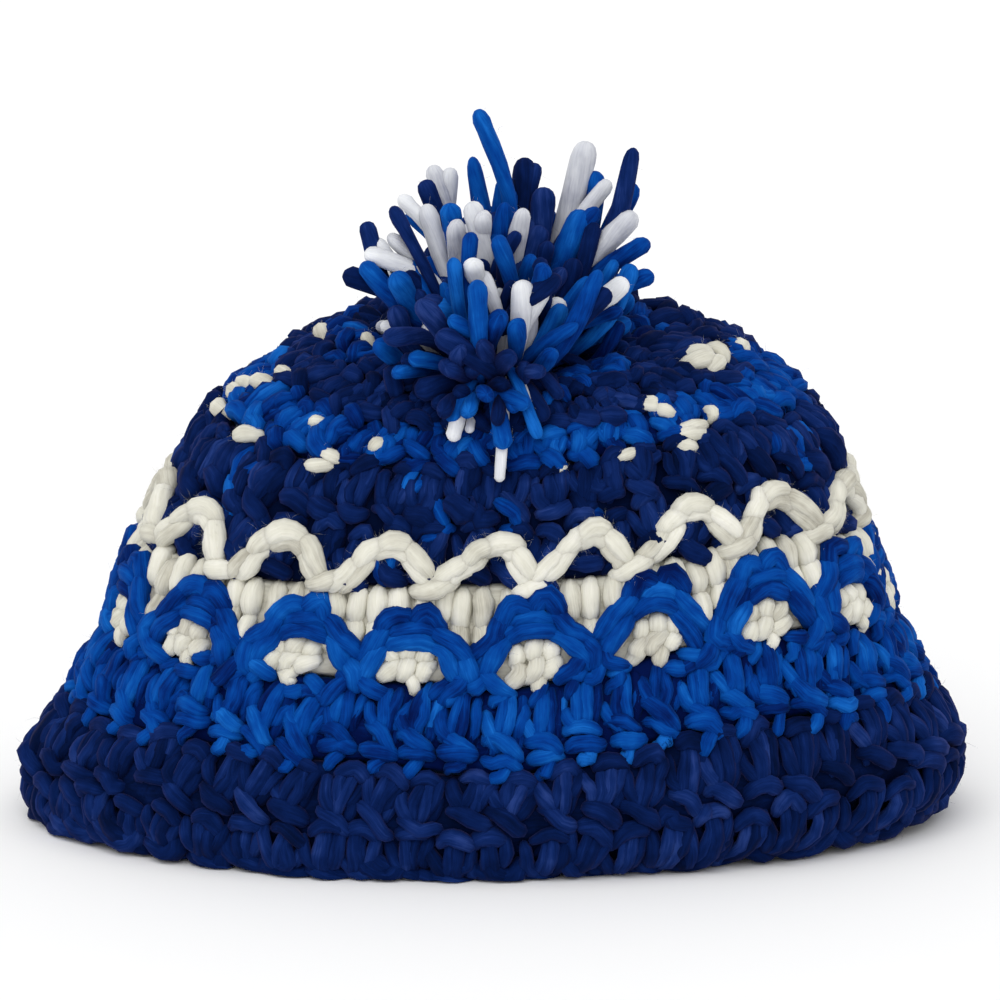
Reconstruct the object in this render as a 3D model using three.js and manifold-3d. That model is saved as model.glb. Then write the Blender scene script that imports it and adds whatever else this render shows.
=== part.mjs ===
// A bulky crocheted bobble hat, standing on its rim.
// It is worked in rounds of thick roving yarn: two navy rounds at the rim, a royal round whose arches
// reach up over a cream round, cream arches over two navy rounds, a royal round, and a navy crown that
// sinks under a pompom of cut yarn, which a yarn tie holds through the middle of the crown.
// Millimetres, +Z up, front towards -Y. The origin is on the floor, in the middle of the rim.
import * as THREE from "three";
import { mergeVertices } from "three/addons/utils/BufferGeometryUtils.js";
import Module from "manifold-3d";

const wasm = await Module();
wasm.setup();

// Driving dimensions
const STITCHES = 54; // in each of the wide rounds
const ARCHES = STITCHES / 3; // every arch spans three stitches
const RING_TURNS = 45; // facets round a band of fabric
const CROWN_TURNS = 36; // and round the crown
const WALL_IN = 4.0; // from the middle of the fabric to its inner face
const RIB = 1.1; // how far each round bulges between its own edges
const GAP = 0.5; // between one yarn's rounds and the next
const SLIVERS = 0.15; // detail finer than this is dropped where solids are joined
const FRONT = -Math.PI / 2;

// The hat's level sections, from the rim to the middle of the crown
const SECTIONS = [
  { height: 0, halfWidth: 112, halfDepth: 61, centreX: -0.5, centreY: 0, tilt: 0, squareness: 2 },
  { height: 8, halfWidth: 116, halfDepth: 64, centreX: 0.3, centreY: 0, tilt: 0, squareness: 2.05 },
  { height: 18, halfWidth: 115, halfDepth: 63.5, centreX: 0.5, centreY: 0, tilt: 0, squareness: 2.1 },
  { height: 30, halfWidth: 108.7, halfDepth: 60.5, centreX: 2, centreY: 0, tilt: 0, squareness: 2.2 },
  { height: 42, halfWidth: 102, halfDepth: 56.5, centreX: 2.4, centreY: 0, tilt: 0, squareness: 2.35 },
  { height: 50, halfWidth: 97.8, halfDepth: 54, centreX: 2.6, centreY: 0, tilt: 0, squareness: 2.5 },
  { height: 60, halfWidth: 93.5, halfDepth: 51.5, centreX: 3, centreY: 0, tilt: 0, squareness: 2.6 },
  { height: 72, halfWidth: 88.5, halfDepth: 49.5, centreX: 3.4, centreY: 0, tilt: 0, squareness: 2.6 },
  { height: 82, halfWidth: 83.5, halfDepth: 47.5, centreX: 3.6, centreY: 0, tilt: 1, squareness: 2.6 },
  { height: 93, halfWidth: 79, halfDepth: 45, centreX: 4.4, centreY: -0.5, tilt: 2, squareness: 2.5 },
  { height: 103, halfWidth: 75, halfDepth: 42.5, centreX: 5.2, centreY: -1, tilt: 4, squareness: 2.4 },
  { height: 111, halfWidth: 65.5, halfDepth: 39, centreX: 6.2, centreY: -2, tilt: 6, squareness: 2.35 },
  { height: 118, halfWidth: 55, halfDepth: 35, centreX: 7, centreY: -4, tilt: 9, squareness: 2.3 },
  { height: 122.5, halfWidth: 46, halfDepth: 29.5, centreX: 7, centreY: -7, tilt: 11, squareness: 2.2 },
  { height: 123, halfWidth: 33, halfDepth: 22.5, centreX: 5, centreY: -10.5, tilt: 13, squareness: 2.1 },
  { height: 118.5, halfWidth: 19.5, halfDepth: 15, centreX: 2.5, centreY: -13, tilt: 14, squareness: 2 },
  { height: 112, halfWidth: 9, halfDepth: 8, centreX: 0.5, centreY: -15, tilt: 14, squareness: 2 },
  { height: 109, halfWidth: 4, halfDepth: 4, centreX: 0, centreY: -15, tilt: 12, squareness: 2 },
];
const COLUMNS = Object.keys(SECTIONS[0]);

// How far the rounds ride up the hat, by turn: 0 is the front, 0.25 the right side. The first column
// holds at the royal round's lower edge, the second from the cream arches up to the crown.
const RISES = [
  { turn: 0, low: 0, high: 0 },
  { turn: 0.04, low: 4, high: 1.5 },
  { turn: 0.085, low: 11, high: 6.5 },
  { turn: 0.15, low: 13, high: 10 },
  { turn: 0.22, low: 13, high: 6 },
  { turn: 0.28, low: 9, high: 4 },
  { turn: 0.4, low: 3, high: 0 },
  { turn: 0.5, low: 1, high: 1 },
  { turn: 0.62, low: 3, high: -1 },
  { turn: 0.75, low: 7, high: 3 },
  { turn: 0.82, low: 6, high: 2 },
  { turn: 0.87, low: 5, high: -1 },
  { turn: 0.93, low: 3.5, high: -1 },
];
const RISE_FROM = 6;
const RISE_LOW_AT = 31;
const RISE_HIGH_AT = 84;
const RISE_HIGH_TO = 128;
const RISE_TO = 165;

// Soft dents and swells of the fabric: where, how wide, and how deep, a swell being negative
const DENTS = [
  { turn: 0.9, fabric: 62, turnSpread: 0.05, fabricSpread: 14, depth: 1.6 },
  { turn: 0.77, fabric: 72, turnSpread: 0.035, fabricSpread: 13, depth: -2.2 },
  { turn: 0.2, fabric: 106, turnSpread: 0.05, fabricSpread: 12, depth: -1.6 },
  { turn: 0.42, fabric: 48, turnSpread: 0.05, fabricSpread: 24, depth: 3.2 },
  { turn: 0.6, fabric: 88, turnSpread: 0.06, fabricSpread: 26, depth: 2.6 },
  { turn: 0.06, fabric: 98, turnSpread: 0.04, fabricSpread: 14, depth: 1.6 },
];

// The rim's front right is tucked in under itself
const TUCK = { turn: 0.1, spread: 0.085, depth: 7.5, fabric: 9 };
const GATHERS = { folds: 9, depth: 1.3, from: 135, fullAt: 160, fadeAt: 180, end: 191 };

// The rounds of each yarn, by how far up the fabric they run from the rim
const BANDS = {
  rim_rounds: { rounds: [-1, 15.5, 31], faceOut: 4.4, colour: 0x141e50, roughness: 0.9 },
  royal_round: { rounds: [31, 43, 55.5], faceOut: 4.4, colour: 0x0546a0, roughness: 0.8 },
  cream_round: { rounds: [55.5, 79.5], faceOut: 2.4, fullTo: 0.97, colour: 0xe6e2d6, roughness: 0.85 },
  navy_rounds: { rounds: [79.5, 97, 114.5], faceOut: 2.4, colour: 0x141e50, roughness: 0.9 },
  upper_royal_round: { rounds: [114.5, 131], faceOut: 4.2, colour: 0x0546a0, roughness: 0.8 },
  crown: { rounds: [131, 145, 159, 173, 188], faceOut: 4.2, colour: 0x141e50, roughness: 0.9 },
};

// Arches of yarn cord. Their heights are distances up the fabric, and out is how far the cord's middle
// lies from the fabric's. The royal ones each stand on the face of their own round, and the cream ones
// run on from one to the next, over the top of the cream round and the navy rounds.
const ROYAL_ARCHES = { low: 50, top: 72, out: 5.9, phase: -0.25 };
const CREAM_ARCHES = { low: 82.3, top: 93.5, out: 5.3, phase: 0.23 };
const CHAIN_STEPS = [
  { part: 0, lift: 0 },
  { part: 0.2, lift: 0.55 },
  { part: 0.4, lift: 0.97 },
  { part: 0.6, lift: 1 },
  { part: 0.82, lift: 0.6 },
];
const ARCH_STEPS = [
  { part: 0.155, lift: 0 },
  { part: 0.19, lift: 0.5 },
  { part: 0.36, lift: 0.95 },
  { part: 0.64, lift: 0.95 },
  { part: 0.81, lift: 0.5 },
  { part: 0.845, lift: 0 },
];
const CORD = { halfWidth: 4, halfThickness: 2.6, sides: 5 };

const smooth = (from, to, x) => {
  const t = Math.min(1, Math.max(0, (x - from) / (to - from)));
  return t * t * (3 - 2 * t);
};
const bell = (distance, spread) => Math.exp(-((distance / spread) ** 2));
const around = (turn) => turn - Math.round(turn); // the shortest way round, in turns

// Distance up the fabric of each section, along the side of the hat
const SECTION_AT = [0];
for (let i = 1; i < SECTIONS.length; i++) {
  const rise = SECTIONS[i].height - SECTIONS[i - 1].height;
  const inward = SECTIONS[i].halfWidth - SECTIONS[i - 1].halfWidth;
  SECTION_AT.push(SECTION_AT[i - 1] + Math.hypot(rise, inward));
}

// A cubic through the table's rows, whose slope at a row is the mean of the slopes on its two sides
function sectionAt(fabric) {
  const last = SECTIONS.length - 2;
  const s = Math.min(SECTION_AT[last + 1], Math.max(SECTION_AT[0], fabric));
  let i = 0;
  while (i < last && s >= SECTION_AT[i + 1]) i++;
  const span = SECTION_AT[i + 1] - SECTION_AT[i];
  const t = (s - SECTION_AT[i]) / span;
  const slope = (k, name) =>
    (SECTIONS[k + 1][name] - SECTIONS[k][name]) / (SECTION_AT[k + 1] - SECTION_AT[k]);
  const tangent = (k, name) =>
    (slope(Math.max(0, k - 1), name) + slope(Math.min(last, k), name)) / 2;
  const section = {};
  for (const name of COLUMNS)
    section[name] =
      (2 * t ** 3 - 3 * t ** 2 + 1) * SECTIONS[i][name] +
      (t ** 3 - 2 * t ** 2 + t) * span * tangent(i, name) +
      (3 * t ** 2 - 2 * t ** 3) * SECTIONS[i + 1][name] +
      (t ** 3 - t ** 2) * span * tangent(i + 1, name);
  return section;
}

// Distance from a section's centre to its outline, at an angle: a superellipse
const outline = (angle, halfWidth, halfDepth, squareness) =>
  (Math.abs(Math.cos(angle) / halfWidth) ** squareness +
    Math.abs(Math.sin(angle) / halfDepth) ** squareness) **
  (-1 / squareness);

// Angle at a turn, so that equal turns are equal lengths of fabric round the band
const LOOK_UP_STEPS = 1440;
const BAND = { halfWidth: 93, halfDepth: 51, squareness: 2.5 };
const TURN_AT = [0];
const angleOf = (step) => FRONT + (2 * Math.PI * step) / LOOK_UP_STEPS;
const bandPoint = (angle) => {
  const r = outline(angle, BAND.halfWidth, BAND.halfDepth, BAND.squareness);
  return [r * Math.cos(angle), r * Math.sin(angle)];
};
for (let step = 1; step <= LOOK_UP_STEPS; step++) {
  const [x0, y0] = bandPoint(angleOf(step - 1));
  const [x1, y1] = bandPoint(angleOf(step));
  TURN_AT.push(TURN_AT[step - 1] + Math.hypot(x1 - x0, y1 - y0));
}
function angleAt(turn) {
  const whole = Math.floor(turn);
  const length = (turn - whole) * TURN_AT[LOOK_UP_STEPS];
  let low = 0;
  let high = LOOK_UP_STEPS;
  while (high - low > 1) {
    const middle = (low + high) >> 1;
    if (TURN_AT[middle] <= length) low = middle;
    else high = middle;
  }
  const part = (length - TURN_AT[low]) / (TURN_AT[high] - TURN_AT[low]);
  return angleOf(low + part) + 2 * Math.PI * whole;
}

// How far the fabric rides up at a point, smoothly between the table's rows
function riseAt(turn, fabric) {
  const t = turn - Math.floor(turn);
  let i = RISES.length - 1;
  while (RISES[i].turn > t) i--;
  const next = (i + 1) % RISES.length;
  const part = smooth(0, around(RISES[next].turn - RISES[i].turn), t - RISES[i].turn);
  const low = RISES[i].low + (RISES[next].low - RISES[i].low) * part;
  const high = RISES[i].high + (RISES[next].high - RISES[i].high) * part;
  const up = smooth(RISE_LOW_AT, RISE_HIGH_AT, fabric);
  const fades = smooth(RISE_FROM, RISE_LOW_AT, fabric) * (1 - smooth(RISE_HIGH_TO, RISE_TO, fabric));
  return (low + (high - low) * up) * fades;
}

// A point on the middle of the fabric, at a turn round the hat and a distance up from the rim
function middle(turn, fabric) {
  const { height, halfWidth, halfDepth, centreX, centreY, tilt, squareness } = sectionAt(
    fabric + riseAt(turn, fabric),
  );
  const angle = angleAt(turn);
  let radius = outline(angle, halfWidth, halfDepth, squareness);
  for (const dent of DENTS)
    radius -=
      dent.depth *
      bell(around(turn - dent.turn), dent.turnSpread) *
      bell(fabric - dent.fabric, dent.fabricSpread);
  const low = Math.max(0, 1 - Math.max(0, fabric) / TUCK.fabric);
  radius -= TUCK.depth * low * bell(around(turn - TUCK.turn), TUCK.spread);
  const gathered =
    smooth(GATHERS.from, GATHERS.fullAt, fabric) * (1 - smooth(GATHERS.fadeAt, GATHERS.end, fabric));
  const gather = GATHERS.depth * gathered * Math.cos(2 * Math.PI * GATHERS.folds * turn);
  const back = radius * Math.sin(angle);
  return new THREE.Vector3(
    centreX + radius * Math.cos(angle),
    centreY + back,
    height + Math.tan((tilt * Math.PI) / 180) * back + gather,
  );
}

// Which way the fabric faces there: out of the hat
function facing(turn, fabric) {
  const along = middle(turn + 0.002, fabric).sub(middle(turn - 0.002, fabric));
  const low = Math.max(0, fabric - 0.5);
  const up = middle(turn, low + 1).sub(middle(turn, low));
  return along.cross(up).normalize();
}

// A point at a distance out from the middle of the fabric. The rim lies flat on the floor.
function place(turn, fabric, out) {
  const point = middle(turn, fabric).addScaledVector(facing(turn, fabric), out);
  if (fabric < 0) point.z = 0;
  else point.z = Math.max(0, point.z);
  return point;
}

// A closed tube of sections, each a closed loop of points, that meets itself or is capped at its ends
function tube(loops, closed) {
  const sides = loops[0].length;
  const points = loops.flat();
  const faces = [];
  const spans = closed ? loops.length : loops.length - 1;
  for (let i = 0; i < spans; i++)
    for (let k = 0; k < sides; k++) {
      const a = i * sides + k;
      const b = i * sides + ((k + 1) % sides);
      const c = ((i + 1) % loops.length) * sides + k;
      const d = ((i + 1) % loops.length) * sides + ((k + 1) % sides);
      faces.push([a, b, d], [a, d, c]);
    }
  if (!closed)
    for (let k = 1; k < sides - 1; k++) {
      const end = (loops.length - 1) * sides;
      faces.push([0, k + 1, k], [end, end + k, end + k + 1]);
    }
  const geometry = new THREE.BufferGeometry().setFromPoints(points);
  geometry.setIndex(faces.flat());
  return geometry;
}

// A geometry as a solid, turned right way out
function solid(geometry) {
  const bare = geometry.clone();
  bare.deleteAttribute("normal");
  bare.deleteAttribute("uv");
  const merged = mergeVertices(bare, 1e-4);
  const vertProperties = new Float32Array(merged.attributes.position.array);
  const triVerts = new Uint32Array(merged.index.array);
  const asMade = new wasm.Manifold(new wasm.Mesh({ numProp: 3, vertProperties, triVerts }));
  if (asMade.volume() > 0) return asMade;
  for (let i = 0; i < triVerts.length; i += 3)
    [triVerts[i], triVerts[i + 1]] = [triVerts[i + 1], triVerts[i]];
  return new wasm.Manifold(new wasm.Mesh({ numProp: 3, vertProperties, triVerts }));
}

// A ring of fabric: each round bulges a little on both faces, and rounded lips close its edges
function ringLoop(band) {
  const { rounds, faceOut, fullTo = 0.72 } = band;
  const start = rounds[0] + (rounds[0] > 0 ? GAP / 2 : 0);
  const end = rounds[rounds.length - 1] - GAP / 2;
  const outer = [];
  const inner = [[start, -WALL_IN + RIB]];
  for (let i = 0; i < rounds.length - 1; i++) {
    const from = i === 0 ? start : rounds[i];
    const to = i === rounds.length - 2 ? end : rounds[i + 1];
    const width = to - from;
    outer.push([from, faceOut - RIB], [from + width * 0.3, faceOut], [from + width * fullTo, faceOut]);
    if (i > 0) inner.push([from + width * 0.2, -WALL_IN]);
  }
  outer.push([end, faceOut - RIB]);
  inner.push([end, -WALL_IN + RIB]);
  return [...outer, ...inner.reverse()];
}
function ring(band, turns) {
  const loop = ringLoop(band);
  const loops = [];
  for (let i = 0; i < turns; i++)
    loops.push(loop.map(([fabric, out]) => place(i / turns, fabric, out)));
  return solid(tube(loops, true));
}

// The middle of an arch's cord at each of its steps, and which way the fabric faces there
const archLine = (kind, index, steps) =>
  steps.map(({ part, lift }) => {
    const turn = (index + kind.phase + part) / ARCHES;
    const fabric = kind.low + (kind.top - kind.low) * lift;
    return { at: place(turn, fabric, kind.out), outward: facing(turn, fabric) };
  });

// A flat cord along a line of such points: an oval of a few sides at each
function cord(line, closed) {
  const last = line.length - 1;
  const loops = line.map(({ at, outward }, i) => {
    const before = i > 0 ? line[i - 1].at : closed ? line[last].at : at;
    const after = i < last ? line[i + 1].at : closed ? line[0].at : at;
    const side = after.clone().sub(before).cross(outward).normalize();
    return Array.from({ length: CORD.sides }, (_, k) => {
      const a = (2 * Math.PI * (k + 0.5)) / CORD.sides;
      return at
        .clone()
        .addScaledVector(side, CORD.halfWidth * Math.cos(a))
        .addScaledVector(outward, CORD.halfThickness * Math.sin(a));
    });
  });
  return solid(tube(loops, closed));
}
const EVERY_ARCH = Array.from({ length: ARCHES }, (_, i) => i);
function archedRing(band, kind) {
  const arches = EVERY_ARCH.map((i) => cord(archLine(kind, i, ARCH_STEPS), false));
  return wasm.Manifold.union([ring(band, RING_TURNS), ...arches]).simplify(SLIVERS);
}
const archChain = (kind) => cord(EVERY_ARCH.flatMap((i) => archLine(kind, i, CHAIN_STEPS)), true);

// The pompom: locks of cut yarn that spread from a bound core. Its head rises out of the crown's hollow,
// and the lower a lock lies, the higher up the head it starts, to clear the crown.
const CORE = new THREE.Vector3(0, -15.5, 114.5);
const LOW_LOCKS_START_UP = 12.5;
const HEAD_PROFILE = [
  [0, 2.5],
  [8, 7],
  [16, 13.5],
  [18.5, 20],
  [16, 28],
  [9, 34],
  [0, 36],
];
const HEAD_SIDES = 14;
const LOCKS = 40;
const LOCK = { level: 41, upright: 20, lean: 5, spread: 0.12, start: 14, radius: 4.3, sides: 4 };
const GOLDEN_TURN = (3 - Math.sqrt(5)) / 2;

// The locks that stand out: turn round the pompom from its front, elevation, length, how far the tip droops
const MARKED_LOCKS = [
  { turn: 0.75, elevation: 87, length: 74, droop: 0 },
  { turn: 0.27, elevation: 62, length: 72, droop: 0 },
  { turn: 0.35, elevation: 71, length: 67, droop: 0 },
  { turn: 0.25, elevation: 39, length: 50, droop: 1 },
  { turn: 0.74, elevation: 39, length: 47, droop: 1 },
  { turn: 0.02, elevation: 8, length: 47, droop: 20 },
  { turn: 0.95, elevation: 9, length: 44, droop: 13 },
  { turn: 0.09, elevation: 10, length: 44, droop: 9 },
  { turn: 0.87, elevation: 14, length: 43, droop: 7 },
  { turn: 0.14, elevation: 14, length: 42, droop: 5 },
];

// The lowest elevation at which a lock clears the crown: more at the back, where the crown is higher
const lowestElevation = (turn) => 25 - 14 * Math.cos(2 * Math.PI * turn);

function lockPath({ turn, elevation, length, droop }) {
  const level = FRONT + 2 * Math.PI * turn;
  const up = (elevation * Math.PI) / 180;
  const way = new THREE.Vector3(
    Math.cos(level) * Math.cos(up),
    Math.sin(level) * Math.cos(up),
    Math.sin(up),
  );
  const from = CORE.clone();
  from.z += LOW_LOCKS_START_UP * (1 - Math.sin(up));
  const elbow = from.clone().addScaledVector(way, length * 0.62);
  const tip = from.clone().addScaledVector(way, length);
  tip.z -= droop;
  return new THREE.QuadraticBezierCurve3(from.addScaledVector(way, LOCK.start), elbow, tip);
}
function lock(described) {
  const path = lockPath(described);
  const loops = [
    [0, 0.6],
    [0.45, 1],
    [0.86, 0.95],
    [1, 0.45],
  ].map(([part, swell]) => {
    const centre = path.getPoint(part);
    const run = path.getTangent(part);
    const side = new THREE.Vector3(0.13, 0.2, 1).cross(run).normalize();
    const other = run.clone().cross(side);
    return Array.from({ length: LOCK.sides }, (_, k) => {
      const a = (2 * Math.PI * k) / LOCK.sides;
      return centre
        .clone()
        .addScaledVector(side, LOCK.radius * swell * Math.cos(a))
        .addScaledVector(other, LOCK.radius * swell * Math.sin(a));
    });
  });
  return solid(tube(loops, false));
}
function pompom() {
  const profile = HEAD_PROFILE.map(([r, z]) => new THREE.Vector2(r, z));
  const head = new THREE.LatheGeometry(profile, HEAD_SIDES)
    .rotateX(Math.PI / 2)
    .translate(CORE.x, CORE.y, CORE.z);
  const filling = Array.from({ length: LOCKS }, (_, i) => {
    const turn = (i * GOLDEN_TURN) % 1;
    const lowest = Math.sin((lowestElevation(turn) * Math.PI) / 180);
    const height = 1 - ((i + 0.5) / LOCKS) * (1 - lowest);
    const uneven = Math.sin(i * 2.4 + 1.3) * Math.sin(i * 0.7);
    const angle = Math.asin(height);
    const leans = LOCK.lean * Math.sin(2 * Math.PI * turn) * Math.sin(2 * angle);
    const length = (LOCK.level + LOCK.upright * height ** 2 + leans) * (1 + LOCK.spread * uneven);
    return { turn, elevation: (angle * 180) / Math.PI, length, droop: 3 * (1 - height) };
  });
  const locks = [...filling, ...MARKED_LOCKS].map(lock);
  return wasm.Manifold.union([solid(head), ...locks]).simplify(SLIVERS);
}

// The tie that holds the pompom: a yarn neck through the middle of the crown, knotted inside the hat
const TIE = { neck: 2.3, knot: 7, top: 116, bottom: 94.5, sides: 12 };
function tie() {
  const length = TIE.top - TIE.bottom;
  const knotHeight = 8;
  const profile = [
    [0, 0],
    [TIE.knot * 0.7, 0.8],
    [TIE.knot, knotHeight * 0.5],
    [TIE.knot * 0.7, knotHeight - 0.8],
    [TIE.neck, knotHeight],
    [TIE.neck, length],
    [0, length],
  ].map(([r, z]) => new THREE.Vector2(r, z));
  const knotted = new THREE.LatheGeometry(profile, TIE.sides)
    .rotateX(Math.PI / 2)
    .translate(CORE.x, CORE.y, TIE.bottom);
  return solid(knotted);
}

function geometryOf(made) {
  const mesh = made.getMesh();
  const geometry = new THREE.BufferGeometry();
  geometry.setAttribute("position", new THREE.BufferAttribute(new Float32Array(mesh.vertProperties), 3));
  geometry.setIndex(new THREE.BufferAttribute(new Uint32Array(mesh.triVerts), 1));
  geometry.computeVertexNormals();
  return geometry;
}
const hat = new THREE.Group();
function add(name, made, colour, roughness) {
  const material = new THREE.MeshStandardMaterial({ color: colour, roughness, metalness: 0 });
  const mesh = new THREE.Mesh(geometryOf(made), material);
  mesh.name = name;
  hat.add(mesh);
}

const MADE = {
  rim_rounds: ring(BANDS.rim_rounds, RING_TURNS),
  royal_round: archedRing(BANDS.royal_round, ROYAL_ARCHES),
  cream_round: ring(BANDS.cream_round, RING_TURNS),
  navy_rounds: ring(BANDS.navy_rounds, RING_TURNS),
  upper_royal_round: ring(BANDS.upper_royal_round, RING_TURNS),
  crown: ring(BANDS.crown, CROWN_TURNS),
};
for (const [name, made] of Object.entries(MADE))
  add(name, made, BANDS[name].colour, BANDS[name].roughness);
add("cream_arches", archChain(CREAM_ARCHES), BANDS.cream_round.colour, BANDS.cream_round.roughness);
add("pompom", pompom(), 0x0b3f96, 0.85);
add("pompom_tie", tie(), 0x141e50, 0.9);

export default hat;
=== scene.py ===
# The looks of a bulky crocheted bobble hat, which stands on its rim.
# Every strand of yarn is a rounded tube that is laid on the fabric's curved surface, in the stitch that
# the real hat has there. Sizes are worked out in millimetres and put into the meshes in metres.
import math

import bpy
import numpy as np
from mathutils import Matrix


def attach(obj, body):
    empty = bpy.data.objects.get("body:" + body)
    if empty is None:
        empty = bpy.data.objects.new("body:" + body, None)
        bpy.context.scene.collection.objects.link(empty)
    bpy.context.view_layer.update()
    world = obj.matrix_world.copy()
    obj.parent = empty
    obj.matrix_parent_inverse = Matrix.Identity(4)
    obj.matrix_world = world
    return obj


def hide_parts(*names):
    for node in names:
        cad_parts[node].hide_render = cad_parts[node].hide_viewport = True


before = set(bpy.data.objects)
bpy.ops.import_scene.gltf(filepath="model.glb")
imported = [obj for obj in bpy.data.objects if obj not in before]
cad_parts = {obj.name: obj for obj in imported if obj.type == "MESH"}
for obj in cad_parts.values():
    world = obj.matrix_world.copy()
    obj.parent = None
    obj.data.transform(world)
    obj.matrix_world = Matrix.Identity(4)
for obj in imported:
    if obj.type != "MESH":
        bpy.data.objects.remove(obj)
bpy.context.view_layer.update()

# Rim
# The two rounds at the rim are tall stitches in thick navy roving. The lower one starts from a chain of
# fat loops, which lies on the table and flares out from the head.

# The fabric's level sections from the rim to the middle of the crown, as the frame has them: height, half
# width, half depth, centre x, centre y, tilt in degrees, squareness
SECTIONS = np.array([
    (0, 112, 61, -0.5, 0, 0, 2),
    (8, 116, 64, 0.3, 0, 0, 2.05),
    (18, 115, 63.5, 0.5, 0, 0, 2.1),
    (30, 108.7, 60.5, 2, 0, 0, 2.2),
    (42, 102, 56.5, 2.4, 0, 0, 2.35),
    (50, 97.8, 54, 2.6, 0, 0, 2.5),
    (60, 93.5, 51.5, 3, 0, 0, 2.6),
    (72, 88.5, 49.5, 3.4, 0, 0, 2.6),
    (82, 83.5, 47.5, 3.6, 0, 1, 2.6),
    (93, 79, 45, 4.4, -0.5, 2, 2.5),
    (103, 75, 42.5, 5.2, -1, 4, 2.4),
    (111, 65.5, 39, 6.2, -2, 6, 2.35),
    (118, 55, 35, 7, -4, 9, 2.3),
    (122.5, 46, 29.5, 7, -7, 11, 2.2),
    (123, 33, 22.5, 5, -10.5, 13, 2.1),
    (118.5, 19.5, 15, 2.5, -13, 14, 2),
    (112, 9, 8, 0.5, -15, 14, 2),
    (109, 4, 4, 0, -15, 12, 2),
])
SECTION_AT = np.concatenate([[0], np.cumsum(np.hypot(*np.diff(SECTIONS[:, :2], axis=0).T))])

# How far the rounds ride up by turn, where turn 0 is the front and 0.25 the right side: at the royal
# round's lower edge, and from the cream arches up
RISES = np.array([
    (0, 0, 0), (0.04, 4, 1.5), (0.085, 11, 6.5), (0.15, 13, 10), (0.22, 13, 6), (0.28, 9, 4), (0.4, 3, 0),
    (0.5, 1, 1), (0.62, 3, -1), (0.75, 7, 3), (0.82, 6, 2), (0.87, 5, -1), (0.93, 3.5, -1), (1, 0, 0),
])

# Soft dents: turn, distance up the fabric, how wide in each, and depth, a swell being negative
DENTS = [
    (0.9, 62, 0.05, 14, 1.6), (0.77, 72, 0.035, 13, -2.2), (0.2, 106, 0.05, 12, -1.6),
    (0.42, 48, 0.05, 24, 3.2), (0.6, 88, 0.06, 26, 2.6), (0.06, 98, 0.04, 14, 1.6),
]


# The rim's edge is tucked in at the front right: its turn, how wide, how deep in millimetres, and how
# far up the fabric
TUCK_TURN, TUCK_SPREAD, TUCK_DEPTH, TUCK_REACH = 0.1, 0.085, 7.5, 9

# The crown's gathers: how many, their height, and where up the fabric they rise and end
GATHERS, GATHER_HEIGHT = 9, 1.3
GATHERED_FROM, GATHERED_TO = (135, 160), (180, 191)


def smooth(low, high, x):
    """0 below low, 1 above high, and an S-curve between: t squared times (3 - 2t)."""
    t = np.clip((x - low) / (high - low), 0, 1)
    return t * t * (3 - 2 * t)


def bell(distance, spread):
    """A bell curve: e to the minus square of distance over spread."""
    return np.exp(-((distance / spread) ** 2))


def apart(turn, other):
    """How far one turn lies from another, the shorter way round: the difference less its nearest whole."""
    return turn - other - np.round(turn - other)


def outline(angle, half_width, half_depth, squareness):
    """Distance from the centre to a superellipse: |cos/a| and |sin/b| to the power n, summed, to -1/n."""
    across = np.abs(np.cos(angle) / half_width) ** squareness
    return (across + np.abs(np.sin(angle) / half_depth) ** squareness) ** (-1 / squareness)


# Angles whose turns are equal lengths of fabric round the band
BAND_ANGLES = np.linspace(-math.pi / 2, 1.5 * math.pi, 1441)
BAND_REACH = outline(BAND_ANGLES, 93, 51, 2.5)
BAND_STEPS = np.hypot(
    np.diff(BAND_REACH * np.cos(BAND_ANGLES)), np.diff(BAND_REACH * np.sin(BAND_ANGLES))
)
BAND_TURNS = np.concatenate([[0], np.cumsum(BAND_STEPS)]) / BAND_STEPS.sum()


def section_at(fabric):
    """The section table at a distance up the fabric: the cubic between two rows.

    Its slope at a row is the mean of the slopes on the row's two sides."""
    s = np.clip(fabric, 0, SECTION_AT[-1])
    i = np.clip(np.searchsorted(SECTION_AT, s, side="right") - 1, 0, len(SECTION_AT) - 2)
    span = np.diff(SECTION_AT)
    slope = np.diff(SECTIONS, axis=0) / span[:, None]
    tangent = np.vstack([slope[:1], (slope[:-1] + slope[1:]) / 2, slope[-1:]])
    t = ((s - SECTION_AT[i]) / span[i])[..., None]
    reach = span[i][..., None]
    return (
        (2 * t**3 - 3 * t**2 + 1) * SECTIONS[i]
        + (t**3 - 2 * t**2 + t) * reach * tangent[i]
        + (3 * t**2 - 2 * t**3) * SECTIONS[i + 1]
        + (t**3 - t**2) * reach * tangent[i + 1]
    )


def rise_at(turn, fabric):
    """How far the rounds ride up: the rise table by turn, faded in above the rim and out at the crown."""
    t = turn - np.floor(turn)
    i = np.clip(np.searchsorted(RISES[:, 0], t, side="right") - 1, 0, len(RISES) - 2)
    part = smooth(0, 1, (t - RISES[i, 0]) / (RISES[i + 1, 0] - RISES[i, 0]))
    low, high = (RISES[i, k] + (RISES[i + 1, k] - RISES[i, k]) * part for k in (1, 2))
    rise = low + (high - low) * smooth(31, 84, fabric)
    return rise * smooth(6, 31, fabric) * (1 - smooth(128, 165, fabric))


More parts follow.
